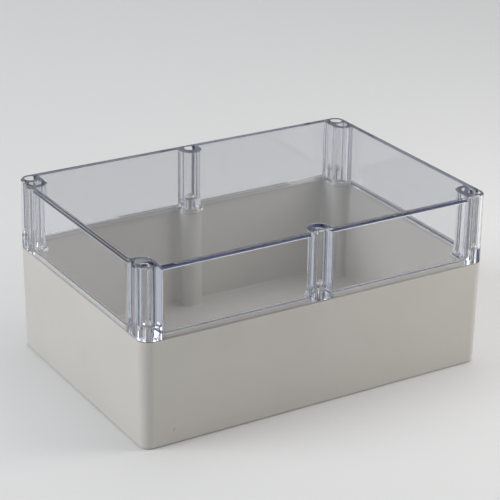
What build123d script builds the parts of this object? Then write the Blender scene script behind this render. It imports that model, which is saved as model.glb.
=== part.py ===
from build123d import *

import math
import os

# A deep sealed junction box: an opaque base, a clear lid screwed down on it at six columns,
# a gasket between the two, and a threaded insert under each screw.
# Millimetres. +X runs along the long side, +Y to the back, +Z up.
# The origin is the middle of the base's underside.

# Outer size
length = 263.0
width = 182.0
base_height = 75.0
lid_height = 50.0
corner_radius = 8.0
foot_inset = 1.0
top_inset = 0.5
foot_edge = 1.2
top_edge = 1.0

# Walls
base_wall = 4.0
base_floor = 3.0
lid_wall = 3.5
lid_top = 3.5

# Screw columns, in plan: each is blended into the wall that carries it
screw_inset = 7.2
column_width = 14.4
corner_column_length = 22.0
column_end_radius = 7.0
wall_blend = 1.8

# Seal: a tongue on the base presses a gasket into a groove in the lid's rim
seal_inset = 3.0
seal_corner = 2.6
joint_gap = 0.6
tongue_width = 1.6
tongue_height = 2.0
groove_width = 2.4
gasket_side_gap = 0.1
gasket_thickness = 1.85
rim_width = 5.6
rim_height = 4.8

# Lid screws and the inserts that they turn in
screw_radius = 2.0
screw_length = 16.0
head_radius = 3.6
head_height = 2.6
screw_ledge_height = 9.4
recess_radius = 4.3
lid_hole_radius = 2.3
thread_clearance = 0.05
insert_radius = 2.8
insert_length = 9.0

# Wall mounting: a deep well beside each corner screw, outside the seal
well_radius = 4.0
well_end_wall = 3.0
well_floor = 5.0
mount_hole_radius = 2.2
insert_wall = 1.4
recess_wall = 1.3

# How near a corner lies to a wall's line to count as on it
on_line = 1e-4

# Derived places
base_draft = math.degrees(math.atan(foot_inset / base_height))
lid_draft = math.degrees(math.atan(top_inset / lid_height))
lid_bottom = base_height + joint_gap
lid_top_z = base_height + lid_height
groove_depth = tongue_height - joint_gap + gasket_thickness
ledge_z = lid_bottom + screw_ledge_height
ceiling_z = lid_top_z - lid_top
screw_x = length / 2 - screw_inset
screw_y = width / 2 - screw_inset
well_y = width / 2 - corner_column_length + well_end_wall + well_radius

corner_signs = [(sx, sy) for sx in (-1, 1) for sy in (-1, 1)]
corner_screws = [(sx * screw_x, sy * screw_y) for sx, sy in corner_signs]
middle_screws = [(0, -screw_y), (0, screw_y)]
screw_places = corner_screws + middle_screws
well_places = [(sx * screw_x, sy * well_y) for sx, sy in corner_signs]


def outer_plan(inset=0.0):
    """The box's outline in plan, drawn in by inset."""
    return RectangleRounded(length - 2 * inset, width - 2 * inset, corner_radius - inset)


def cavity_plan(inset):
    """The space inside the seal line, drawn in by inset: the room less its six columns."""
    half_x = length / 2 - seal_inset - inset
    half_y = width / 2 - seal_inset - inset
    plan = Rectangle(2 * half_x, 2 * half_y)
    end_radius = column_end_radius + inset
    reach_x = column_width + inset
    reach_y = corner_column_length + inset
    for sx, sy in corner_signs:
        column = Rectangle(2 * reach_x, 2 * reach_y)
        column = fillet(column.vertices(), end_radius)
        plan -= Pos(sx * length / 2, sy * width / 2) * column
    middle_radius = column_width / 2 + inset
    for sy in (-1, 1):
        middle_y = sy * (width / 2 - column_width / 2)
        plan -= Pos(0, middle_y) * Circle(middle_radius)
        plan -= Pos(0, middle_y + sy * column_width / 2) * Rectangle(2 * middle_radius, column_width)
    return plan


def wall_corners(plan):
    """The corners of a cavity's plan where its columns meet the walls."""
    box = plan.bounding_box()
    return [
        v for v in plan.vertices()
        if abs(abs(v.X) - box.max.X) < on_line or abs(abs(v.Y) - box.max.Y) < on_line
    ]


def room_plan(wall):
    """The room inside a wall of this thickness, its columns blended into the walls."""
    plan = cavity_plan(wall - seal_inset)
    return chamfer(wall_corners(plan), wall_blend)


def seal_plan(inset):
    """The seal line, drawn in by inset, with its corners cut off at the walls."""
    plan = cavity_plan(inset)
    return chamfer(wall_corners(plan), seal_corner - inset * math.tan(math.pi / 8))


def seal_ring(half_width, z_low, z_high):
    """A closed band that follows the seal line, half_width to each side of it."""
    band = seal_plan(-half_width) - seal_plan(half_width)
    return extrude(Pos(0, 0, z_low) * band, z_high - z_low)


def at_each(places, solid):
    """Copies of a solid at each place in plan."""
    return [Pos(x, y) * solid for x, y in places]


def upright(radius, z_low, z_high):
    """A round bar between two heights."""
    return Pos(0, 0, z_low) * extrude(Circle(radius), z_high - z_low)


def make_base():
    """The opaque lower shell, with its columns, mounting wells and sealing tongue."""
    block = extrude(Pos(0, 0, base_height) * outer_plan(), -base_height, taper=base_draft)
    block = chamfer(block.faces().sort_by(Axis.Z)[0].edges(), foot_edge)
    room = extrude(Pos(0, 0, base_floor) * room_plan(base_wall), base_height - base_floor)
    shell = block - room
    shell += seal_ring(tongue_width / 2, base_height, base_height + tongue_height)
    shell -= at_each(screw_places, upright(insert_radius, base_height - insert_length, base_height))
    tube = upright(insert_radius + insert_wall, 0, base_height)
    for (x, y), (screw_at_x, screw_at_y) in zip(well_places, corner_screws):
        well = Pos(x, y) * upright(well_radius, well_floor, base_height)
        shell -= well - Pos(screw_at_x, screw_at_y) * tube
    shell -= at_each(well_places, upright(mount_hole_radius, 0, well_floor))
    return shell


def make_lid():
    """The clear upper shell, with screw recesses, cored pockets and the gasket's groove."""
    block = extrude(
        Pos(0, 0, lid_bottom) * outer_plan(),
        lid_top_z - lid_bottom,
        taper=lid_draft,
    )
    block = chamfer(block.faces().sort_by(Axis.Z)[-1].edges(), top_edge)
    rim_top = lid_bottom + rim_height
    room = extrude(Pos(0, 0, rim_top) * room_plan(lid_wall), ceiling_z - rim_top)
    mouth = extrude(Pos(0, 0, lid_bottom) * seal_plan(rim_width - seal_inset), rim_height)
    shell = block - room - mouth
    shell -= seal_ring(groove_width / 2, lid_bottom, lid_bottom + groove_depth)
    shell -= at_each(screw_places, upright(recess_radius, ledge_z, lid_top_z))
    shell -= at_each(screw_places, upright(lid_hole_radius, lid_bottom, ledge_z))
    tube = upright(recess_radius + recess_wall, lid_bottom, ceiling_z)
    for (x, y), (screw_at_x, screw_at_y) in zip(well_places, corner_screws):
        pocket = Pos(x, y) * upright(well_radius, lid_bottom, ceiling_z)
        shell -= pocket - Pos(screw_at_x, screw_at_y) * tube
    return shell


def make_gasket():
    """The soft strip at the bottom of the lid's groove, resting on the base's tongue."""
    z_low = base_height + tongue_height
    return seal_ring(groove_width / 2 - gasket_side_gap, z_low, z_low + gasket_thickness)


def make_screw():
    """A pan-head screw, seated on the ledge in the lid."""
    head = upright(head_radius, ledge_z, ledge_z + head_height)
    return head + upright(screw_radius, ledge_z - screw_length, ledge_z)


def make_insert():
    """A threaded brass bush, pressed into the base's column."""
    z_low = base_height - insert_length
    bore = upright(screw_radius + thread_clearance, z_low, base_height)
    return upright(insert_radius, z_low, base_height) - bore


os.makedirs("parts", exist_ok=True)
export_step(make_base(), "parts/base_shell.step")
export_step(make_lid(), "parts/clear_lid.step")
export_step(make_gasket(), "parts/lid_gasket.step")
place_names = ["front_left", "back_left", "front_right", "back_right", "front_middle", "back_middle"]
screw = make_screw()
insert = make_insert()
for name, (x, y) in zip(place_names, screw_places):
    export_step(Pos(x, y) * screw, f"parts/screw_{name}.step")
    export_step(Pos(x, y) * insert, f"parts/insert_{name}.step")
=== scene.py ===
"""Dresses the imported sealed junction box: moulded base, clear lid, gasket, screws and inserts.

Metres. The shapes are closed shells, each made of walls and caps. A wall is a profile of
(offset, height) carried along an outline in plan, and a cap is a flat face between outlines.
"""

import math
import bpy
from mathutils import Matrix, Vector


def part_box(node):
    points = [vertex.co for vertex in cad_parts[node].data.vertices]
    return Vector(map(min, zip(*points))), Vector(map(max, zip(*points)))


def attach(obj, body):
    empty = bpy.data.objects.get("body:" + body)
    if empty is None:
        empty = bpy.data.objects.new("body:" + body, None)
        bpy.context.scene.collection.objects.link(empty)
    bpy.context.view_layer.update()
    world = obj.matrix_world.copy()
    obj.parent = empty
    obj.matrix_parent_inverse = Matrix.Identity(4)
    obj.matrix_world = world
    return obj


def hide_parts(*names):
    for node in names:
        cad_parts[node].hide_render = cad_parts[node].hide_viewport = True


bl_info = {
    "name": "Sealed Junction Box",
    "version": (1, 0, 0),
    "blender": (4, 5, 0),
    "location": "3D View > Sidebar > Junction Box",
    "description": "Builds the finish of a sealed junction box around its packed solids",
    "category": "Add Mesh",
}

import bpy
import numpy as np
from bpy.props import FloatProperty, FloatVectorProperty, IntProperty, PointerProperty
from mathutils import Matrix, Vector
from mathutils.geometry import delaunay_2d_cdt

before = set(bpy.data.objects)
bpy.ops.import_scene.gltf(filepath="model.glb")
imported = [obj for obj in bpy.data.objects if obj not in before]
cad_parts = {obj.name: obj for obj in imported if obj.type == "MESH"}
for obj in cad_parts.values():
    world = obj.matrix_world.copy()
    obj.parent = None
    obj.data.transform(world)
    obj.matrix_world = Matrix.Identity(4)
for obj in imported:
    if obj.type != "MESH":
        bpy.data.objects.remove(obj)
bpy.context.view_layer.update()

BASE_LOW, BASE_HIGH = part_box("base_shell")
LID_LOW, LID_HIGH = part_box("clear_lid")
PLACES = sorted(name[len("screw_"):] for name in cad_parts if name.startswith("screw_"))
CORNERS = [place for place in PLACES if not place.endswith("middle")]


def middle_of(node):
    """A node's centre in plan."""
    low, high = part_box(node)
    return np.array([low.x + high.x, low.y + high.y]) / 2


SCREW_AT = {place: middle_of("screw_" + place) for place in PLACES}
SCREW_LOW, SCREW_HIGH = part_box("screw_" + PLACES[0])
INSERT_LOW, INSERT_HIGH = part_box("insert_" + PLACES[0])
HEAD_RADIUS = SCREW_HIGH.x - SCREW_AT[PLACES[0]][0]
INSERT_RADIUS = INSERT_HIGH.x - SCREW_AT[PLACES[0]][0]

EDGE_STEPS = 6  # Steps in each rounded edge of a wall's profile or of the gasket's section.
CIRCLE_ARCS = 6  # A circle has this many times the steps of a rounded corner in plan.
CRESCENT_ARCS = 4  # And a crescent's longer arc has this many times.
FLAT_RUN = 1.1  # A narrow flat beside a rounded edge is this many of its radii long.
WIDE_RUN = 2  # And a wide one is this many.
WELD_SCALE = 1e8  # Points that round to the same whole numbers at this scale are joined.
MILLIMETRES = 1000  # Per metre: faces are cut from flat outlines in millimetres.
THREAD_PITCH = 0.0007  # Height of one turn of the thread on the screws and in the inserts.
WALL_BOUNCES = 48  # Light that is trapped in a clear wall turns this often before it leaves.

# The room's light: its colour, its strength, and how much more of it is seen by the camera
# and in what mirrors it or bends it.
WORLD_COLOUR = (0.98, 0.99, 1.0)
WORLD_STRENGTH = 0.38
WORLD_SEEN = 0.06

# Each lamp's name, place, aim, width and height, power in watts and colour.
BOX_MIDDLE = (0.0, 0.0, 0.06)
LAMPS = (
    ("left_window", (-2.1, 0.6, 1.15), BOX_MIDDLE, (1.4, 1.2), 33.0, (0.97, 0.985, 1.0)),
    ("top_soft_box", (0.5, 0.35, 1.8), BOX_MIDDLE, (1.9, 1.9), 9.5, (1.0, 1.0, 1.0)),
    ("right_high_box", (0.85, -0.6, 1.30), BOX_MIDDLE, (0.5, 0.5), 2.4, (1.0, 0.98, 0.95)),
    ("right_low_box", (0.60, -0.34, 0.30), (0.15, 0.0, 0.05), (0.35, 0.35), 1.8, (1.0, 0.95, 0.88)),
)

# The one brown mark near the foot of the front wall: place, inner and outer reach, strength.
MARK_AT = (-0.1092, -0.0904, 0.0106)
MARK_REACH = (0.0004, 0.0012)
MARK_STRENGTH = 0.5
MARK_COLOUR = (0.20, 0.14, 0.09)


def length_size(name, value, about):
    """A length that a user may change, in metres."""
    return FloatProperty(name=name, description=about, default=value, unit="LENGTH", precision=5)


def colour_choice(name, value, about):
    """A colour that a user may change, as linear red, green and blue."""
    return FloatVectorProperty(
        name=name, description=about, default=value, subtype="COLOR", size=3, min=0.0, max=1.0
    )


class BoxSizes(bpy.types.PropertyGroup):
    """The moulded shells' sizes that the frame doesn't give by itself."""

    corner_radius: length_size("Corner radius", 0.008, "Radius of the upright outer corners")
    foot_inset: length_size("Foot inset", 0.001, "How far the draft draws the base in at its foot")
    top_inset: length_size("Top inset", 0.0005, "How far the draft draws the lid in at its top")
    foot_step: length_size("Foot step", 0.0012, "How far the foot is set in at the underside")
    foot_gap: length_size("Foot gap", 0.0008, "Height of that step above the underside")
    foot_round: length_size("Foot rounding", 0.0004, "Radius of the edge above that step")
    top_edge: length_size("Top edge", 0.0010, "Width of the chamfer round the lid's top")
    edge_round: length_size("Edge rounding", 0.0006, "Radius of that chamfer's own edges")
    rim_round: length_size("Rim rounding", 0.0004, "Radius of the outer edges at the parting line")
    fine_round: length_size("Fine rounding", 0.0001, "Radius of the other broken edges")
    base_wall: length_size("Base wall", 0.004, "Thickness of the base's walls")
    base_floor: length_size("Base floor", 0.003, "Thickness of the base's floor")
    floor_round: length_size(
        "Floor rounding", 0.001, "Radius where the base's walls meet its floor"
    )
    lid_wall: length_size("Lid wall", 0.0035, "Thickness of the lid's walls")
    lid_top: length_size("Lid top", 0.0035, "Thickness of the lid's top plate")
    ceiling_round: length_size(
        "Ceiling rounding", 0.0006, "Radius where the lid's walls meet its top"
    )
    column_width: length_size("Column width", 0.0144, "Width of the screw columns")
    column_length: length_size("Column length", 0.022, "Length of the corner columns in plan")
    column_round: length_size("Column rounding", 0.007, "Radius of a corner column's inner corner")
    wall_blend: length_size("Wall blend", 0.0022, "Radius where a column runs into a wall")
    seal_inset: length_size("Seal inset", 0.003, "From the outer face to the middle of the seal")
    seal_blend: length_size("Seal blend", 0.0034, "Radius of the seal's turns at the walls")
    tongue_width: length_size("Tongue width", 0.0016, "Width of the base's sealing tongue")
    tongue_height: length_size("Tongue height", 0.002, "Height of the base's sealing tongue")
    tongue_round: length_size("Tongue rounding", 0.0003, "Radius of the tongue's upper edges")
    groove_width: length_size("Groove width", 0.0024, "Width of the lid's gasket groove")
    groove_depth: length_size("Groove depth", 0.00325, "Depth of the lid's gasket groove")
    rim_width: length_size("Rim width", 0.0056, "Thickness of the lid's lower rim")
    rim_height: length_size("Rim height", 0.0048, "Height of the lid's lower rim")
    rim_foot: length_size("Rim foot", 0.0012, "Height of the upright part of the rim's inner face")
    rim_ledge: length_size("Rim ledge", 0.0002, "Width of the flat above the rim's sloping face")
    step_round: length_size("Step rounding", 0.0010, "Radius between those two faces")
    recess_radius: length_size("Recess radius", 0.0043, "Radius of the screw recesses")
    recess_wall: length_size(
        "Recess wall", 0.0013, "Wall between a recess and the pocket beside it"
    )
    lid_hole_radius: length_size("Lid hole radius", 0.0023, "Radius of the screw holes in the lid")
    head_height: length_size("Head height", 0.0026, "Height of the lid screws' heads")
    well_radius: length_size("Well radius", 0.004, "Radius of the mounting wells and lid pockets")
    well_end_wall: length_size("Well end wall", 0.003, "Wall between a well and its column's end")
    well_floor: length_size("Well floor", 0.005, "Thickness under a mounting well")
    mount_hole_radius: length_size("Mounting hole radius", 0.0022, "Radius of the mounting holes")
    insert_wall: length_size("Insert wall", 0.0014, "Wall between an insert and the well beside it")
    arc_steps: IntProperty(name="Arc steps", description="Steps in each rounded corner", default=14)


class BoxColours(bpy.types.PropertyGroup):
    """The colours of the box's materials and of the stage."""

    base_plastic: colour_choice("Base plastic", (0.540, 0.522, 0.490), "Warm light grey plastic")
    lid_plastic: colour_choice("Lid plastic", (0.978, 0.978, 0.981), "Clear plastic")
    lid_depth: colour_choice("Lid depth", (0.40, 0.47, 0.65), "Tint that deepens through the lid")
    gasket: colour_choice("Gasket", (0.50, 0.49, 0.47), "Soft grey rubber")
    steel: colour_choice("Steel", (0.62, 0.61, 0.60), "Stainless steel")
    brass: colour_choice("Brass", (0.70, 0.52, 0.25), "Plain brass")
    stage: colour_choice("Stage", (0.745, 0.745, 0.75), "Floor and backdrop")


def sizes():
    """The scene's sizes of the box."""
    return bpy.context.scene.box_sizes


def colours():
    """The scene's colours of the box."""
    return bpy.context.scene.box_colours


def well_middle(place):
    """A mounting well's centre in plan, from its corner column's inner end."""
    s = sizes()
    x, y = SCREW_AT[place]
    inner_end = LID_HIGH.y - s.column_length
    return np.array([x, math.copysign(inner_end + s.well_end_wall + s.well_radius, y)])


def rounded(corners, radii, steps, closed=True):
    """A path through corners, each rounded by its radius, and its right-hand normals.

    Each corner turns by an angle t. Its arc starts r tan(|t| / 2) before the corner, and runs
    about a centre that lies r to the inside of the turn. A point of the arc is the centre plus
    or minus r times the normal there, which is the incoming run's normal turned by 0 to t.
    """
    p = np.asarray(corners, float)
    r = np.asarray(radii, float)
    before = np.roll(p, 1, 0)
    after = np.roll(p, -1, 0)
    d0 = p - before
    d1 = after - p
    if not closed:
        d0[0] = d1[0]
        d1[-1] = d0[-1]
    d0 /= np.linalg.norm(d0, axis=1)[:, None]
    d1 /= np.linalg.norm(d1, axis=1)[:, None]
    turn = np.arctan2(d0[:, 0] * d1[:, 1] - d0[:, 1] * d1[:, 0], (d0 * d1).sum(1))
    side = np.sign(turn)
    start = p - d0 * (r * np.tan(abs(turn) / 2))[:, None]
    n0 = np.stack([d0[:, 1], -d0[:, 0]], 1)
    centre = start - n0 * (side * r)[:, None]
    a = turn[:, None] * np.linspace(0, 1, steps + 1)[None]
    c, s = np.cos(a), np.sin(a)
    normals = np.stack(
        [n0[:, :1] * c - n0[:, 1:] * s, n0[:, :1] * s + n0[:, 1:] * c], 2
    )
    points = centre[:, None] + normals * (side * r)[:, None, None]
    return points.reshape(-1, 2), normals.reshape(-1, 2)


def carried(outline, points, normals):
    """A profile's points and normals, carried along an outline in plan. A point is the
    outline's, moved by the profile's offset along its normal, at the profile's height."""
    at, out = outline
    place = at[:, None] + out[:, None] * points[None, :, :1]
    height = np.broadcast_to(points[None, :, 1:], place.shape[:2] + (1,))
    facing = out[:, None] * normals[None, :, :1]
    lift = np.broadcast_to(normals[None, :, 1:], place.shape[:2] + (1,))
    return np.concatenate([place, height], 2), np.concatenate([facing, lift], 2)


def round_axis(centre, a, radius, height):
    """Points at each radius and height, turned by the angles a about an upright axis."""
    x, y = centre
    return np.stack([x + radius * np.cos(a), y + radius * np.sin(a), height], 2)


def unit(vectors):
    """The vectors, each made 1 long."""
    shortest = 1e-12
    return vectors / np.maximum(np.linalg.norm(vectors, axis=2), shortest)[:, :, None]


def triangle_wave(turns):
    """1 at each whole turn and 0 half a turn on, straight between them."""
    return 2 * abs(turns % 1.0 - 0.5)


def outer_outline():
    """The box's outer outline at its widest, anticlockwise."""
    s = sizes()
    hx, hy = LID_HIGH.x, LID_HIGH.y
    corners = [(hx, -hy), (hx, hy), (-hx, hy), (-hx, -hy)]
    return rounded(corners, [s.corner_radius] * 4, s.arc_steps)


def inner_outline(inset, blend):
    """The seal line drawn in by inset, anticlockwise: the room's outline round its six columns."""
    s = sizes()
    hx = LID_HIGH.x - s.seal_inset - inset
    hy = LID_HIGH.y - s.seal_inset - inset
    cx = LID_HIGH.x - s.column_width - inset
    cy = LID_HIGH.y - s.column_length - inset
    mx = s.column_width / 2 + inset
    my = LID_HIGH.y - s.column_width - inset
    end = s.column_round + inset
    half = [(hx, cy), (cx, cy), (cx, hy), (mx, hy), (mx, my), (-mx, my), (-mx, hy), (-cx, hy),
            (-cx, cy), (-hx, cy)]
    half_radii = [blend, end, blend, blend, mx, mx, blend, blend, end, blend]
    other = [(-x, -y) for x, y in half]
    return rounded(half + other, half_radii * 2, s.arc_steps)


def ring(centre, radius):
    """A circle, anticlockwise."""
    a = np.linspace(0, 2 * math.pi, CIRCLE_ARCS * sizes().arc_steps, endpoint=False)
    normals = np.stack([np.cos(a), np.sin(a)], 1)
    return np.asarray(centre) + radius * normals, normals


def crescent(centre, radius, other, other_radius):
    """The part of a circle outside another one, as its own arc and then the other's, both
    anticlockwise round the part. The circles cross at the angle whose cosine the triangle of
    their radii and distance gives."""
    steps = CRESCENT_ARCS * sizes().arc_steps
    short_steps = steps // 3
    centre, other = np.asarray(centre), np.asarray(other)
    apart = np.linalg.norm(other - centre)
    towards = math.atan2(*(other - centre)[::-1])
    near = math.acos((radius**2 + apart**2 - other_radius**2) / (2 * radius * apart))
    far = math.acos((other_radius**2 + apart**2 - radius**2) / (2 * other_radius * apart))
    a = towards + np.linspace(near, 2 * math.pi - near, steps + 1)
    b = towards + math.pi + np.linspace(far, -far, short_steps + 1)
    outer_normals = np.stack([np.cos(a), np.sin(a)], 1)
    inner_normals = -np.stack([np.cos(b), np.sin(b)], 1)
    outer_arc = centre + radius * outer_normals
    inner_arc = other - other_radius * inner_normals
    inner_arc[0], inner_arc[-1] = outer_arc[-1], outer_arc[0]
    return (outer_arc, outer_normals), (inner_arc, inner_normals)


class Shell:
    """A closed surface gathered from walls and caps, with each face corner's exact normal."""

    def __init__(self):
        self.points = []
        self.quads = []
        self.quad_normals = []
        self.quad_finish = []
        self.triangles = []
        self.triangle_normals = []
        self.triangle_finish = []
        self.count = 0

    def keep(self, points):
        """Stores points, and returns the index of the first of them."""
        self.points.append(points)
        self.count += len(points)
        return self.count - len(points)

    def grid(self, points, normals, round_u, round_v=False):
        """Faces over a (u, v) grid, which point along du x dv."""
        nu, nv = points.shape[:2]
        first = self.keep(points.reshape(-1, 3))
        i = np.arange(nu if round_u else nu - 1)[:, None]
        j = np.arange(nv if round_v else nv - 1)[None]
        i1, j1 = (i + 1) % nu, (j + 1) % nv
        index = np.stack([i * nv + j, i1 * nv + j, i1 * nv + j1, i * nv + j1], 2).reshape(-1, 4)
        self.quads.append(first + index)
        self.quad_normals.append(normals.reshape(-1, 3)[index])
        self.quad_finish.append(np.zeros(len(index), int))

    def wall(self, outline, profile, closed=True):
        """Carries a profile along an outline. The profile is a list of smooth runs of
        (offset, height) points, and the solid is on its left. Returns its first and last
        rings."""
        rings = []
        for points, normals in profile:
            grid, facing = carried(outline, points, normals)
            self.grid(grid, facing, closed)
            rings += [grid[:, 0], grid[:, -1]]
        return rings[0], rings[-1]

    def cap(self, up, outline, holes=(), finish=0):
        """A flat face inside an outline and outside its holes, which are rings of points."""
        loops = [outline, *holes]
        points = np.concatenate(loops)
        starts = np.cumsum([0] + [len(loop) for loop in loops])
        edges = [
            (a + k, a + (k + 1) % (b - a)) for a, b in zip(starts, starts[1:]) for k in range(b - a)
        ]
        flat = [Vector((x * MILLIMETRES, y * MILLIMETRES)) for x, y in points[:, :2]]
        inside_edges, nearest = 1, 1e-6
        _, _, faces, sources, _, _ = delaunay_2d_cdt(flat, edges, [], inside_edges, nearest)
        index = np.array([[sources[k][0] for k in face] for face in faces])
        middle = points[index][:, :, :2].mean(1)
        start, end = points[:, :2], np.concatenate([np.roll(loop, -1, 0) for loop in loops])[:, :2]
        spans = (start[:, 1] > middle[:, 1:]) != (end[:, 1] > middle[:, 1:])
        rise = np.where(end[:, 1] == start[:, 1], 1.0, end[:, 1] - start[:, 1])
        along = (middle[:, 1:] - start[:, 1]) / rise
        crossing = start[:, 0] + along * (end[:, 0] - start[:, 0]) > middle[:, :1]
        index = index[(spans & crossing).sum(1) % 2 == 1]
        a, b, c = (points[index[:, k], :2] for k in range(3))
        area = (b - a)[:, 0] * (c - a)[:, 1] - (b - a)[:, 1] * (c - a)[:, 0]
        turned = area < 0 if up else area > 0
        index[turned] = index[turned][:, ::-1]
        self.triangles.append(self.keep(points) + index)
        normals = np.zeros((len(index), 3, 3))
        normals[:, :, 2] = 1.0 if up else -1.0
        self.triangle_normals.append(normals)
        self.triangle_finish.append(np.full(len(index), finish))

    def build(self, name, *materials):
        """Joins points that coincide, and makes the object with its corner normals."""
        points = np.concatenate(self.points)
        whole_numbers = np.round(points * WELD_SCALE).astype(np.int64)
        _, first, joined = np.unique(
            whole_numbers, axis=0, return_index=True, return_inverse=True
        )
        joined = joined.reshape(-1)
        quads = joined[np.concatenate(self.quads)]
        quad_normals = np.concatenate(self.quad_normals)
        quad_finish = np.concatenate(self.quad_finish)
        pinched = np.zeros(len(quads), bool)
        faces, normals, finish = [], [], []
        for side in range(4):
            same = (quads[:, side] == quads[:, (side + 1) % 4]) & ~pinched
            rest = [k for k in range(4) if k != side]
            faces.append(quads[same][:, rest])
            normals.append(quad_normals[same][:, rest])
            finish.append(quad_finish[same])
            pinched |= same
        if self.triangles:
            faces.append(joined[np.concatenate(self.triangles)])
            normals.append(np.concatenate(self.triangle_normals))
            finish.append(np.concatenate(self.triangle_finish))
        triangles = np.concatenate(faces)
        corner_normals = np.concatenate(normals)
        triangle_finish = np.concatenate(finish)
        whole = ~(
            (triangles[:, 0] == triangles[:, 1])
            | (triangles[:, 1] == triangles[:, 2])
            | (triangles[:, 2] == triangles[:, 0])
        )
        triangles, corner_normals = triangles[whole], corner_normals[whole]
        finishes = np.concatenate([quad_finish[~pinched], triangle_finish[whole]])
        mesh = bpy.data.meshes.new(name)
        mesh.from_pydata(points[first].tolist(), [], quads[~pinched].tolist() + triangles.tolist())
        mesh.polygons.foreach_set("use_smooth", np.ones(len(mesh.polygons), bool))
        mesh.update()
        loops = [quad_normals[~pinched].reshape(-1, 3), corner_normals.reshape(-1, 3)]
        mesh.normals_split_custom_set(np.concatenate(loops).tolist())
        piece = bpy.data.objects.new(name, mesh)
        bpy.context.scene.collection.objects.link(piece)
        for material in materials:
            mesh.materials.append(material)
        mesh.polygons.foreach_set("material_index", finishes.astype(np.int32))
        return piece


def profile(*corners):
    """The smooth runs of an open profile. A corner is (offset, height) or (offset, height,
    radius); one with no radius is sharp, and parts two runs."""
    per_corner = EDGE_STEPS + 1
    runs, start = [], 0
    for end in range(1, len(corners)):
        if end < len(corners) - 1 and len(corners[end]) == 3:
            continue
        part = corners[start:end + 1]
        radii = [c[2] if len(c) == 3 and 0 < k < len(part) - 1 else 0.0 for k, c in enumerate(part)]
        points, normals = rounded([c[:2] for c in part], radii, EDGE_STEPS, closed=False)
        keep = np.ones(len(points), bool)
        for k, radius in enumerate(radii):
            if radius == 0.0:
                keep[k * per_corner + 1:(k + 1) * per_corner] = False
        runs.append((points[keep], normals[keep]))
        start = end
    return runs


def crescents(shell, outline, well_profile):
    """A crescent's two walls, and the rings of points at their two ends."""
    rings = [shell.wall(arc, well_profile, closed=False) for arc in outline]
    return tuple(np.concatenate([rings[0][k], rings[1][k][1:-1]]) for k in range(2))


def base_shell(material):
    """The base: outer skin, underside, room, rim with its tongue, insert bores and wells."""
    s = sizes()
    rim = INSERT_HIGH.z
    shell = Shell()
    foot, edge = shell.wall(outer_outline(), profile(
        (-s.foot_inset - s.foot_step, BASE_LOW.z),
        (-s.foot_inset - s.foot_step, BASE_LOW.z + s.foot_gap),
        (-s.foot_inset, BASE_LOW.z + s.foot_gap, s.foot_round),
        (0, rim, s.rim_round), (-WIDE_RUN * s.rim_round, rim),
    ))
    wells, feet = [], []
    for place in CORNERS:
        outline = crescent(
            well_middle(place), s.well_radius, SCREW_AT[place],
            INSERT_RADIUS + s.insert_wall,
        )
        mouth, foot_ring = crescents(shell, outline, profile((0, rim), (0, s.well_floor)))
        wells.append(mouth)
        hole, bottom = shell.wall(
            ring(well_middle(place), s.mount_hole_radius),
            profile((0, s.well_floor), (0, BASE_LOW.z)),
        )
        shell.cap(True, foot_ring, [hole])
        feet.append(bottom)
    bores = []
    for place in PLACES:
        mouth, bottom = shell.wall(
            ring(SCREW_AT[place], INSERT_RADIUS),
            profile((0, rim), (0, INSERT_LOW.z)),
        )
        shell.cap(True, bottom)
        bores.append(mouth)
    shell.cap(False, foot, feet)
    half = s.tongue_width / 2
    top = rim + s.tongue_height
    outside = inner_outline(-half, s.seal_blend + half)
    inside = inner_outline(half, s.seal_blend - half)
    tongue_foot, tongue_edge = shell.wall(
        outside, profile((0, rim), (0, top, s.tongue_round), (-FLAT_RUN * s.tongue_round, top))
    )
    shell.cap(True, edge, [tongue_foot] + bores + wells)
    inner_edge, inner_foot = shell.wall(
        inside, profile((FLAT_RUN * s.tongue_round, top), (0, top, s.tongue_round), (0, rim))
    )
    shell.cap(True, tongue_edge, [inner_edge])
    mouth, floor_ring = shell.wall(inner_outline(s.base_wall - s.seal_inset, s.wall_blend), profile(
        (0, rim), (0, s.base_floor, s.floor_round), (-WIDE_RUN * s.floor_round, s.base_floor),
    ))
    shell.cap(True, inner_foot, [mouth])
    shell.cap(True, floor_ring)
    return shell.build("moulded_base", material)


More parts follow.
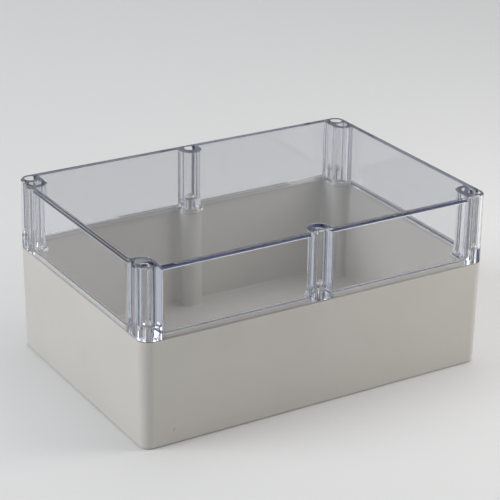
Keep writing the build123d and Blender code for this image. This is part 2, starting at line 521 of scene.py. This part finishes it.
def lid_shell(material, joint_material):
    """The lid: outer skin, top, recesses, room, thick rim with its groove, and pockets."""
    s = sizes()
    low, top = LID_LOW.z, LID_HIGH.z
    ceiling = top - s.lid_top
    ledge = SCREW_HIGH.z - s.head_height
    shell = Shell()
    foot, edge = shell.wall(outer_outline(), profile(
        (-WIDE_RUN * s.rim_round, low), (0, low, s.rim_round),
        (-s.top_inset, top - s.top_edge, s.edge_round),
        (-s.top_inset - s.top_edge, top, s.edge_round),
        (-s.top_inset - s.top_edge - s.edge_round, top),
    ))
    mouths, holes = [], []
    for place in PLACES:
        mouth, ledge_ring = shell.wall(ring(SCREW_AT[place], s.recess_radius), profile(
            (FLAT_RUN * s.fine_round, top), (0, top, s.fine_round), (0, ledge),
        ))
        hole_top, hole_low = shell.wall(
            ring(SCREW_AT[place], s.lid_hole_radius), profile((0, ledge), (0, low))
        )
        shell.cap(True, ledge_ring, [hole_top])
        mouths.append(mouth)
        holes.append(hole_low)
    for place in CORNERS:
        outline = crescent(
            well_middle(place), s.well_radius, SCREW_AT[place], s.recess_radius + s.recess_wall
        )
        roof, mouth = crescents(shell, outline, profile((0, ceiling), (0, low)))
        shell.cap(False, roof)
        holes.append(mouth)
    shell.cap(True, edge, mouths)
    half = s.groove_width / 2
    groove_top = low + s.groove_depth
    outer_high, outer_low = shell.wall(
        inner_outline(-half, s.seal_blend + half), profile((0, groove_top), (0, low))
    )
    inner_low, inner_high = shell.wall(
        inner_outline(half, s.seal_blend - half), profile((0, low), (0, groove_top))
    )
    shell.cap(False, outer_high, [inner_high])
    shell.cap(False, foot, [outer_low] + holes, finish=1)
    rim_inset = s.rim_width - s.seal_inset
    rim_top = low + s.rim_height
    rim_edge, mouth = shell.wall(inner_outline(rim_inset, s.seal_blend - rim_inset), profile(
        (s.rim_width - s.lid_wall - s.rim_ledge, rim_top), (0, low + s.rim_foot, s.step_round),
        (0, low),
    ))
    shell.cap(False, inner_low, [mouth], finish=1)
    roof, room_foot = shell.wall(inner_outline(s.lid_wall - s.seal_inset, s.wall_blend), profile(
        (-FLAT_RUN * s.ceiling_round, ceiling), (0, ceiling, s.ceiling_round), (0, rim_top),
    ))
    shell.cap(False, roof)
    shell.cap(True, room_foot, [rim_edge])
    return shell.build("clear_moulded_lid", material, joint_material)


def gasket_strip(material):
    """The gasket: a rounded strip whose section is carried round the seal line.

    Half its width is how far its box reaches past the seal line.
    """
    s = sizes()
    low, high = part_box("lid_gasket")
    roundness = 0.6
    half = high.x - (LID_HIGH.x - s.seal_inset)
    corner = min(half, (high.z - low.z) / 2) * roundness
    corners = [(half, low.z), (half, high.z), (-half, high.z), (-half, low.z)]
    section, normals = rounded(corners, [corner] * 4, EDGE_STEPS)
    shell = Shell()
    shell.grid(*carried(inner_outline(0.0, s.seal_blend), section, normals), True, True)
    return shell.build("gasket_strip", material)


def screw_piece(place, material):
    """A pan-head screw with a cross recess and a threaded shank.

    The surface is a stack of rings about the screw's axis. Down the shank, the radius swings
    between the thread's crest and root with the turn and the height. On the head, the height
    follows a dome, less a cross of two slots whose floors slope down to the middle.
    """
    s = sizes()
    turns, shank_rings, dome_rings = 72, 230, 44
    a = np.linspace(0, 2 * math.pi, turns, endpoint=False)[:, None]
    seat = SCREW_HIGH.z - s.head_height

    crest, root = 0.0020, 0.0016
    steepness, root_flat = 1.6, 0.3
    thread_end, neck_length = 0.0012, 0.0010
    tip_length, tip_share = 0.0008, 0.75
    z = np.linspace(SCREW_LOW.z, seat - thread_end, shank_rings)[None]
    wave = triangle_wave(z / THREAD_PITCH - a / (2 * math.pi))
    tip = np.clip((z - SCREW_LOW.z) / tip_length, 0, 1)
    shank = root + (crest - root) * np.clip(wave * steepness - root_flat, 0, 1)
    shank = shank * (tip_share + (1 - tip_share) * tip)

    underside, brim_low, brim_high = 0.97, 0.0003, 0.0006
    side_bend, crown_bend = 0.55, 0.8
    neck = np.array([[crest, seat - neck_length], [crest, seat],
                     [HEAD_RADIUS * underside, seat], [HEAD_RADIUS, seat + brim_low]])
    dome = np.linspace(0, 1, dome_rings)[None]
    reach = HEAD_RADIUS * np.cos(dome * math.pi / 2) ** side_bend
    rise = (s.head_height - brim_high) * np.sin(dome * math.pi / 2) ** crown_bend
    crown = seat + brim_high + rise

    arm, half, flare = 0.0020, 0.00045, 0.00018
    side_run, end_run = 0.00012, 0.0003
    end_depth, more_depth = 0.0009, 0.0007

    def slot(along, across):
        """One slot's depth, from the distances along it and across it."""
        inward = 1 - abs(along) / arm
        wall = np.clip((half + flare * inward - abs(across)) / side_run, 0, 1)
        end = np.clip((arm - abs(along)) / end_run, 0, 1)
        return wall * end * (end_depth + more_depth * inward)

    px, py = reach * np.cos(a), reach * np.sin(a)
    cut = np.maximum(slot(px, py), slot(py, px))
    crown = np.broadcast_to(crown, px.shape) - cut
    radius = np.concatenate([
        np.zeros((turns, 1)), shank, np.broadcast_to(neck[:, 0], (turns, len(neck))),
        np.broadcast_to(reach, px.shape),
    ], 1)
    height = np.concatenate([
        np.full((turns, 1), SCREW_LOW.z), np.broadcast_to(z, (turns, z.shape[1])),
        np.broadcast_to(neck[:, 1], (turns, len(neck))), crown,
    ], 1)
    radius[:, -1] = 0.0
    height[:, -1] = height[:, -1].mean()
    points = round_axis(SCREW_AT[place], a, radius, height)
    du = np.roll(points, -1, 0) - np.roll(points, 1, 0)
    normals = np.cross(du, np.gradient(points, axis=1))
    normals[:, 0] = (0, 0, -1)
    normals[:, -1] = (0, 0, 1)
    shell = Shell()
    shell.grid(points, unit(normals), True)
    return shell.build("lid_screw_" + place, material)


def insert_piece(place, material):
    """A brass bush: a closed section carried round its axis, with upright teeth in two bands
    outside and a thread in its bore.

    The outer radius is the full one less the teeth's depth times a triangle wave in the turn,
    or less the waist's depth at the ends and between the bands. The bore's radius grows by the
    thread's depth times a triangle wave in the turn and the height.
    """
    low, high = INSERT_LOW.z, INSERT_HIGH.z
    bore, thread_depth, bore_rings = 0.00205, 0.0002, 90
    tooth_depth, waist_depth, teeth = 0.00012, 0.00028, 24
    steps_per_tooth = 6
    turns = teeth * steps_per_tooth
    a = np.linspace(0, 2 * math.pi, turns, endpoint=False)[:, None]
    share_up = np.array([0, 0.04, 0.42, 0.45, 0.55, 0.58, 0.96, 1])[None]
    at_waist = np.array([1, 0, 0, 1, 1, 0, 0, 1])[None] > 0
    tooth = tooth_depth * triangle_wave(a * teeth / (2 * math.pi))
    skin = INSERT_RADIUS - np.where(at_waist, waist_depth, tooth)
    z_skin = np.broadcast_to(low + (high - low) * share_up, skin.shape)
    z_bore = np.linspace(high, low, bore_rings)[None]
    groove = triangle_wave(z_bore / THREAD_PITCH - a / (2 * math.pi))
    radius = np.concatenate([skin, bore + thread_depth * groove], 1)
    height = np.concatenate([z_skin, np.broadcast_to(z_bore, groove.shape)], 1)
    points = round_axis(SCREW_AT[place], a, radius, height)
    du = np.roll(points, -1, 0) - np.roll(points, 1, 0)
    dv = np.roll(points, -1, 1) - np.roll(points, 1, 1)
    shell = Shell()
    shell.grid(points, unit(np.cross(du, dv)), True, True)
    return shell.build("brass_insert_" + place, material)


def sheet_stage(material):
    """The floor, which curves up behind the box into a backdrop: a flat run, an arc and a rise."""
    reach, back, bend, high, steps = 3.0, 1.6, 0.5, 0.6, 24
    corners = [(-reach, 0.0), (back, 0.0), (back, high)]
    points, normals = rounded(corners, [0, bend, 0], steps, closed=False)
    x = np.array([-reach, reach])
    grid = np.empty((2, len(points), 3))
    grid[:, :, 0] = x[:, None]
    grid[:, :, 1] = points[:, 0]
    grid[:, :, 2] = points[:, 1]
    facing = np.zeros_like(grid)
    facing[:, :, 1:] = -normals
    shell = Shell()
    shell.grid(grid, facing, False)
    return shell.build("stage_sweep", material)


def new_group(name, inputs, outputs):
    """An empty shader group with its sockets, as (name, kind, default)."""
    group = bpy.data.node_groups.new(name, "ShaderNodeTree")
    for label, kind, default in inputs:
        socket = group.interface.new_socket(label, in_out="INPUT", socket_type=kind)
        if default is not None:
            socket.default_value = default
    for label, kind in outputs:
        group.interface.new_socket(label, in_out="OUTPUT", socket_type=kind)
    return group, group.nodes.new("NodeGroupInput"), group.nodes.new("NodeGroupOutput")


def math_node(tree, operation, a, b=None, c=None):
    """A Math node's output, for sockets or plain numbers."""
    node = tree.nodes.new("ShaderNodeMath")
    node.operation = operation
    for k, value in enumerate((a, b, c)):
        if value is None:
            continue
        if isinstance(value, (int, float)):
            node.inputs[k].default_value = value
        else:
            tree.links.new(value, node.inputs[k])
    return node.outputs[0]


def noise_node(tree, vector, scale, detail, roughness=0.5):
    """A noise texture's value over a vector."""
    node = tree.nodes.new("ShaderNodeTexNoise")
    tree.links.new(vector, node.inputs["Vector"])
    node.inputs["Detail"].default_value = detail
    node.inputs["Roughness"].default_value = roughness
    if isinstance(scale, (int, float)):
        node.inputs["Scale"].default_value = scale
    else:
        tree.links.new(scale, node.inputs["Scale"])
    return node.outputs[0]


def ramp(tree, value, low, high):
    """A smooth step from 0 at low to 1 at high."""
    node = tree.nodes.new("ShaderNodeMapRange")
    node.interpolation_type = "SMOOTHSTEP"
    tree.links.new(value, node.inputs["Value"])
    node.inputs["From Min"].default_value = low
    node.inputs["From Max"].default_value = high
    return node.outputs["Result"]


def moulded_grain():
    """A spark-eroded mould's grain: fine noise for height, and broad noise for tone."""
    group, given, out = new_group(
        "moulded_grain",
        [("Vector", "NodeSocketVector", None), ("Grain per Metre", "NodeSocketFloat", 2600.0)],
        [("Height", "NodeSocketFloat"), ("Tone", "NodeSocketFloat")],
    )
    place = given.outputs["Vector"]
    fine = noise_node(group, place, scale=given.outputs["Grain per Metre"], detail=2.0)
    broad = noise_node(group, place, scale=14.0, detail=3.0, roughness=0.55)
    group.links.new(fine, out.inputs["Height"])
    group.links.new(ramp(group, broad, low=0.3, high=0.7), out.inputs["Tone"])
    return group


def handling_marks():
    """Faint smears and a few specks of dust, from broad noise and sparse cells."""
    group, given, out = new_group(
        "handling_marks",
        [("Vector", "NodeSocketVector", None), ("Specks per Metre", "NodeSocketFloat", 60.0)],
        [("Smears", "NodeSocketFloat"), ("Specks", "NodeSocketFloat")],
    )
    cells_left_clean = 0.93
    place = given.outputs["Vector"]
    smear = noise_node(group, place, scale=22.0, detail=4.0, roughness=0.62)
    cells = group.nodes.new("ShaderNodeTexVoronoi")
    group.links.new(place, cells.inputs["Vector"])
    group.links.new(given.outputs["Specks per Metre"], cells.inputs["Scale"])
    far = ramp(group, cells.outputs["Distance"], low=0.018, high=0.035)
    near = math_node(group, "SUBTRACT", 1.0, far)
    chance = group.nodes.new("ShaderNodeSeparateColor")
    group.links.new(cells.outputs["Color"], chance.inputs[0])
    rare = math_node(group, "GREATER_THAN", chance.outputs[0], cells_left_clean)
    group.links.new(ramp(group, smear, low=0.52, high=0.80), out.inputs["Smears"])
    group.links.new(math_node(group, "MULTIPLY", near, rare), out.inputs["Specks"])
    return group


def shared_group(name, maker):
    """The shader group of this name, made at its first use."""
    return bpy.data.node_groups.get(name) or maker()


def begin(name):
    """A material with a bare tree, and its Object coordinates."""
    material = bpy.data.materials.new(name)
    material.use_nodes = True
    tree = material.node_tree
    tree.nodes.clear()
    out = tree.nodes.new("ShaderNodeOutputMaterial")
    shader = tree.nodes.new("ShaderNodeBsdfPrincipled")
    tree.links.new(shader.outputs[0], out.inputs["Surface"])
    place = tree.nodes.new("ShaderNodeTexCoord").outputs["Object"]
    return material, tree, shader, place


def place_group(tree, name, maker, place, **values):
    """A shared group in a material, fed with coordinates and its own values."""
    node = tree.nodes.new("ShaderNodeGroup")
    node.node_tree = shared_group(name, maker)
    tree.links.new(place, node.inputs["Vector"])
    for label, value in values.items():
        node.inputs[label.replace("_", " ")].default_value = value
    return node


def mix_colour(tree, factor, a, b):
    """A mix of two colours, each a socket or plain values, by a socket's factor."""
    node = tree.nodes.new("ShaderNodeMix")
    node.data_type = "RGBA"
    tree.links.new(factor, node.inputs["Factor"])
    for label, value in (("A", a), ("B", b)):
        socket = next(i for i in node.inputs if i.name == label and i.type == "RGBA")
        if isinstance(value, bpy.types.NodeSocket):
            tree.links.new(value, socket)
        else:
            socket.default_value = (*value, 1.0)
    return next(o for o in node.outputs if o.type == "RGBA")


def shade(colour, factor):
    """A colour times a factor."""
    return tuple(c * factor for c in colour)


def toned(tree, grain, colour, dark, light):
    """A colour that drifts between two shades of itself with the grain's tone."""
    return mix_colour(tree, grain.outputs["Tone"], shade(colour, dark), shade(colour, light))


def dull(tree, shader, marks, plain, more):
    """Sets a roughness: the plain one, and this much more under a full smear."""
    rough = math_node(tree, "MULTIPLY_ADD", marks.outputs["Smears"], more, plain)
    tree.links.new(rough, shader.inputs["Roughness"])


def bump(tree, grain, shader, distance, strength):
    """Lets the grain's height turn the shader's normal."""
    node = tree.nodes.new("ShaderNodeBump")
    node.inputs["Distance"].default_value = distance
    node.inputs["Strength"].default_value = strength
    tree.links.new(grain.outputs["Height"], node.inputs["Height"])
    tree.links.new(node.outputs[0], shader.inputs["Normal"])


def base_plastic_material():
    """Warm grey moulded plastic: satin grain, a broad drift of tone, smears, specks and a mark.

    The mark fades from its inner reach to its outer reach about its place.
    """
    smear_strength, smear_shade, speck_strength = 0.25, 0.90, 0.6
    material, tree, shader, place = begin("base_plastic")
    grain = place_group(tree, "moulded_grain", moulded_grain, place, Grain_per_Metre=2600.0)
    marks = place_group(tree, "handling_marks", handling_marks, place, Specks_per_Metre=30.0)
    plain = tuple(colours().base_plastic)
    smear = math_node(tree, "MULTIPLY", marks.outputs["Smears"], smear_strength)
    drift = toned(tree, grain, plain, dark=0.975, light=1.02)
    smeared = mix_colour(tree, smear, drift, shade(plain, smear_shade))
    speck = math_node(tree, "MULTIPLY", marks.outputs["Specks"], speck_strength)
    gap = tree.nodes.new("ShaderNodeVectorMath")
    gap.operation = "DISTANCE"
    tree.links.new(place, gap.inputs[0])
    gap.inputs[1].default_value = MARK_AT
    mark = math_node(tree, "SUBTRACT", 1.0, ramp(tree, gap.outputs["Value"], *MARK_REACH))
    mark = math_node(tree, "MULTIPLY", mark, MARK_STRENGTH)
    spots = math_node(tree, "MAXIMUM", speck, mark)
    tree.links.new(mix_colour(tree, spots, smeared, MARK_COLOUR), shader.inputs["Base Color"])
    dull(tree, shader, marks, plain=0.42, more=0.08)
    bump(tree, grain, shader, distance=0.00001, strength=0.4)
    return material


def lid_plastic_material(name, lamp_light, dullness):
    """Clear plastic: it bends light as polycarbonate does, and tints what passes deep in it.

    lamp_light is the share of light that passes a surface straight, for diffuse and shadow
    rays. It is most of it at the walls, and little at the parting face, where light that came
    in at the sides is reflected back up into the lid.
    """
    polycarbonate_ior, depth_density = 1.585, 24.0
    material, tree, shader, place = begin(name)
    marks = place_group(tree, "handling_marks", handling_marks, place)
    shader.inputs["Base Color"].default_value = (*colours().lid_plastic, 1.0)
    shader.inputs["Transmission Weight"].default_value = 1.0
    shader.inputs["IOR"].default_value = polycarbonate_ior
    dull(tree, shader, marks, plain=dullness, more=0.02)
    path = tree.nodes.new("ShaderNodeLightPath")
    clear = tree.nodes.new("ShaderNodeBsdfTransparent")
    clear.inputs["Color"].default_value = (lamp_light, lamp_light, lamp_light, 1.0)
    out = next(n for n in tree.nodes if n.type == "OUTPUT_MATERIAL")
    surface = shader.outputs[0]
    for ray in ("Is Diffuse Ray", "Is Shadow Ray"):
        mix = tree.nodes.new("ShaderNodeMixShader")
        tree.links.new(path.outputs[ray], mix.inputs[0])
        tree.links.new(surface, mix.inputs[1])
        tree.links.new(clear.outputs[0], mix.inputs[2])
        surface = mix.outputs[0]
    tree.links.new(surface, out.inputs["Surface"])
    depth = tree.nodes.new("ShaderNodeVolumeAbsorption")
    depth.inputs["Color"].default_value = (*colours().lid_depth, 1.0)
    depth.inputs["Density"].default_value = depth_density
    tree.links.new(depth.outputs[0], out.inputs["Volume"])
    return material


def gasket_material():
    """Soft grey rubber with a dull, finely mottled skin."""
    material, tree, shader, place = begin("gasket_rubber")
    grain = place_group(tree, "moulded_grain", moulded_grain, place, Grain_per_Metre=3000.0)
    skin = toned(tree, grain, tuple(colours().gasket), dark=0.9, light=1.08)
    tree.links.new(skin, shader.inputs["Base Color"])
    shader.inputs["Roughness"].default_value = 0.7
    bump(tree, grain, shader, distance=0.00003, strength=0.5)
    return material


def metal_material(name, colour, roughness):
    """Machined metal: a fine grain in its shine, a drift of tone and faint dull smears."""
    material, tree, shader, place = begin(name)
    shader.inputs["Metallic"].default_value = 1.0
    grain = place_group(tree, "moulded_grain", moulded_grain, place, Grain_per_Metre=6000.0)
    marks = place_group(tree, "handling_marks", handling_marks, place)
    skin = toned(tree, grain, colour, dark=0.9, light=1.05)
    tree.links.new(skin, shader.inputs["Base Color"])
    dull(tree, shader, marks, plain=roughness, more=0.15)
    bump(tree, grain, shader, distance=0.000004, strength=0.4)
    return material


def stage_material():
    """Plain matte paper."""
    material, _, shader, _ = begin("stage_paper")
    shader.inputs["Base Color"].default_value = (*colours().stage, 1.0)
    shader.inputs["Roughness"].default_value = 0.9
    shader.inputs["Specular IOR Level"].default_value = 0.1
    return material


def settle(piece, body, nodes):
    """Puts a finished piece on its body, for its nodes."""
    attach(piece, body)
    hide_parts(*nodes)


def add_lamp(name, at, aim, size, power, colour):
    """A soft rectangular lamp of this width and height that faces a point."""
    lamp = bpy.data.lights.new(name, "AREA")
    lamp.shape = "RECTANGLE"
    lamp.size, lamp.size_y = size
    lamp.energy = power
    lamp.color = colour
    piece = bpy.data.objects.new(name, lamp)
    bpy.context.scene.collection.objects.link(piece)
    piece.location = at
    piece.rotation_euler = (Vector(aim) - Vector(at)).to_track_quat("-Z", "Y").to_euler()


class BOX_OT_base(bpy.types.Operator):
    """Makes the moulded base"""

    bl_idname = "box.make_base"
    bl_label = "Make Base"

    def execute(self, context):
        settle(base_shell(base_plastic_material()), "base", ["base_shell"])
        return {"FINISHED"}


class BOX_OT_lid(bpy.types.Operator):
    """Makes the clear lid"""

    bl_idname = "box.make_lid"
    bl_label = "Make Lid"

    def execute(self, context):
        walls = lid_plastic_material("lid_plastic", lamp_light=0.99, dullness=0.004)
        joint = lid_plastic_material("lid_plastic_joint", lamp_light=0.12, dullness=0.004)
        settle(lid_shell(walls, joint), "lid", ["clear_lid"])
        return {"FINISHED"}


class BOX_OT_gasket(bpy.types.Operator):
    """Makes the gasket in the lid's groove"""

    bl_idname = "box.make_gasket"
    bl_label = "Make Gasket"

    def execute(self, context):
        settle(gasket_strip(gasket_material()), "lid", ["lid_gasket"])
        return {"FINISHED"}


class BOX_OT_fasteners(bpy.types.Operator):
    """Makes the lid screws and the inserts that they turn in"""

    bl_idname = "box.make_fasteners"
    bl_label = "Make Fasteners"

    def execute(self, context):
        steel = metal_material("screw_steel", tuple(colours().steel), roughness=0.22)
        brass = metal_material("insert_brass", tuple(colours().brass), roughness=0.3)
        for place in PLACES:
            screw = screw_piece(place, steel)
            settle(screw, place + "_screw", ["screw_" + place])
            settle(insert_piece(place, brass), "base", ["insert_" + place])
        return {"FINISHED"}


class BOX_OT_stage(bpy.types.Operator):
    """Sets the floor and backdrop, the lamps and the camera"""

    bl_idname = "box.set_stage"
    bl_label = "Set Stage"

    def execute(self, context):
        sheet_stage(stage_material())
        world = bpy.data.worlds.new("soft_room")
        world.use_nodes = True
        tree = world.node_tree
        background = tree.nodes["Background"]
        background.inputs["Color"].default_value = (*WORLD_COLOUR, 1.0)
        rays = tree.nodes.new("ShaderNodeLightPath").outputs
        seen = math_node(tree, "MAXIMUM", rays["Is Camera Ray"], rays["Is Glossy Ray"])
        seen = math_node(tree, "MAXIMUM", seen, rays["Is Transmission Ray"])
        strength = math_node(tree, "MULTIPLY_ADD", seen, WORLD_SEEN, WORLD_STRENGTH)
        tree.links.new(strength, background.inputs["Strength"])
        context.scene.world = world
        for lamp in LAMPS:
            add_lamp(*lamp)
        set_camera(context)
        context.scene.view_settings.view_transform = "Standard"
        for kind in ("max", "glossy", "transmission"):
            setattr(context.scene.cycles, kind + "_bounces", WALL_BOUNCES)
        return {"FINISHED"}


def set_camera(context):
    """The camera that the box's edges in the photograph give.

    It looks down on the box's middle from the front left, turned and tilted by these angles,
    rolled a little, and moved in its own plane so that the middle lies where it does there.
    """
    focal_pixels = 1821.9
    picture = 500.0
    turn, tilt, roll = (math.radians(v) for v in (-31.45, 23.10, -0.89))
    middle_pixel = (249.83, 269.82)
    away = 1.2525
    middle = Vector((0.0, 0.0, LID_HIGH.z / 2))
    level = math.cos(tilt)
    forward = Vector((-math.sin(turn) * level, math.cos(turn) * level, -math.sin(tilt)))
    right = forward.cross(Vector((0, 0, 1))).normalized()
    down = forward.cross(right)
    rolled_right = right * math.cos(roll) + down * math.sin(roll)
    rolled_down = down * math.cos(roll) - right * math.sin(roll)
    across = (middle_pixel[0] - picture / 2) * away / focal_pixels
    below = (middle_pixel[1] - picture / 2) * away / focal_pixels
    at = middle - rolled_right * across - rolled_down * below - forward * away
    lens = bpy.data.cameras.new("photo_camera")
    lens.sensor_width = 36.0
    lens.lens = focal_pixels * lens.sensor_width / picture
    lens.clip_start, lens.clip_end = 0.05, 20.0
    camera = bpy.data.objects.new("photo_camera", lens)
    context.scene.collection.objects.link(camera)
    turned = Matrix((rolled_right, -rolled_down, -forward)).transposed().to_4x4()
    camera.matrix_world = Matrix.Translation(at) @ turned
    context.scene.camera = camera


STEPS = (BOX_OT_base, BOX_OT_lid, BOX_OT_gasket, BOX_OT_fasteners, BOX_OT_stage)


class BOX_PT_panel(bpy.types.Panel):
    """Lists the box's sizes, colours and steps"""

    bl_idname = "BOX_PT_panel"
    bl_label = "Junction Box"
    bl_space_type = "VIEW_3D"
    bl_region_type = "UI"
    bl_category = "Junction Box"

    def draw(self, context):
        for step in STEPS:
            self.layout.operator(step.bl_idname)
        for group in (context.scene.box_sizes, context.scene.box_colours):
            for name in group.__annotations__:
                self.layout.prop(group, name)


CLASSES = (BoxSizes, BoxColours, *STEPS, BOX_PT_panel)


def register():
    for kind in CLASSES:
        bpy.utils.register_class(kind)
    bpy.types.Scene.box_sizes = PointerProperty(type=BoxSizes)
    bpy.types.Scene.box_colours = PointerProperty(type=BoxColours)


def unregister():
    del bpy.types.Scene.box_colours
    del bpy.types.Scene.box_sizes
    for kind in reversed(CLASSES):
        bpy.utils.unregister_class(kind)


def main():
    register()
    bpy.ops.box.make_base()
    bpy.ops.box.make_lid()
    bpy.ops.box.make_gasket()
    bpy.ops.box.make_fasteners()
    bpy.ops.box.set_stage()


if __name__ == "__main__":
    main()
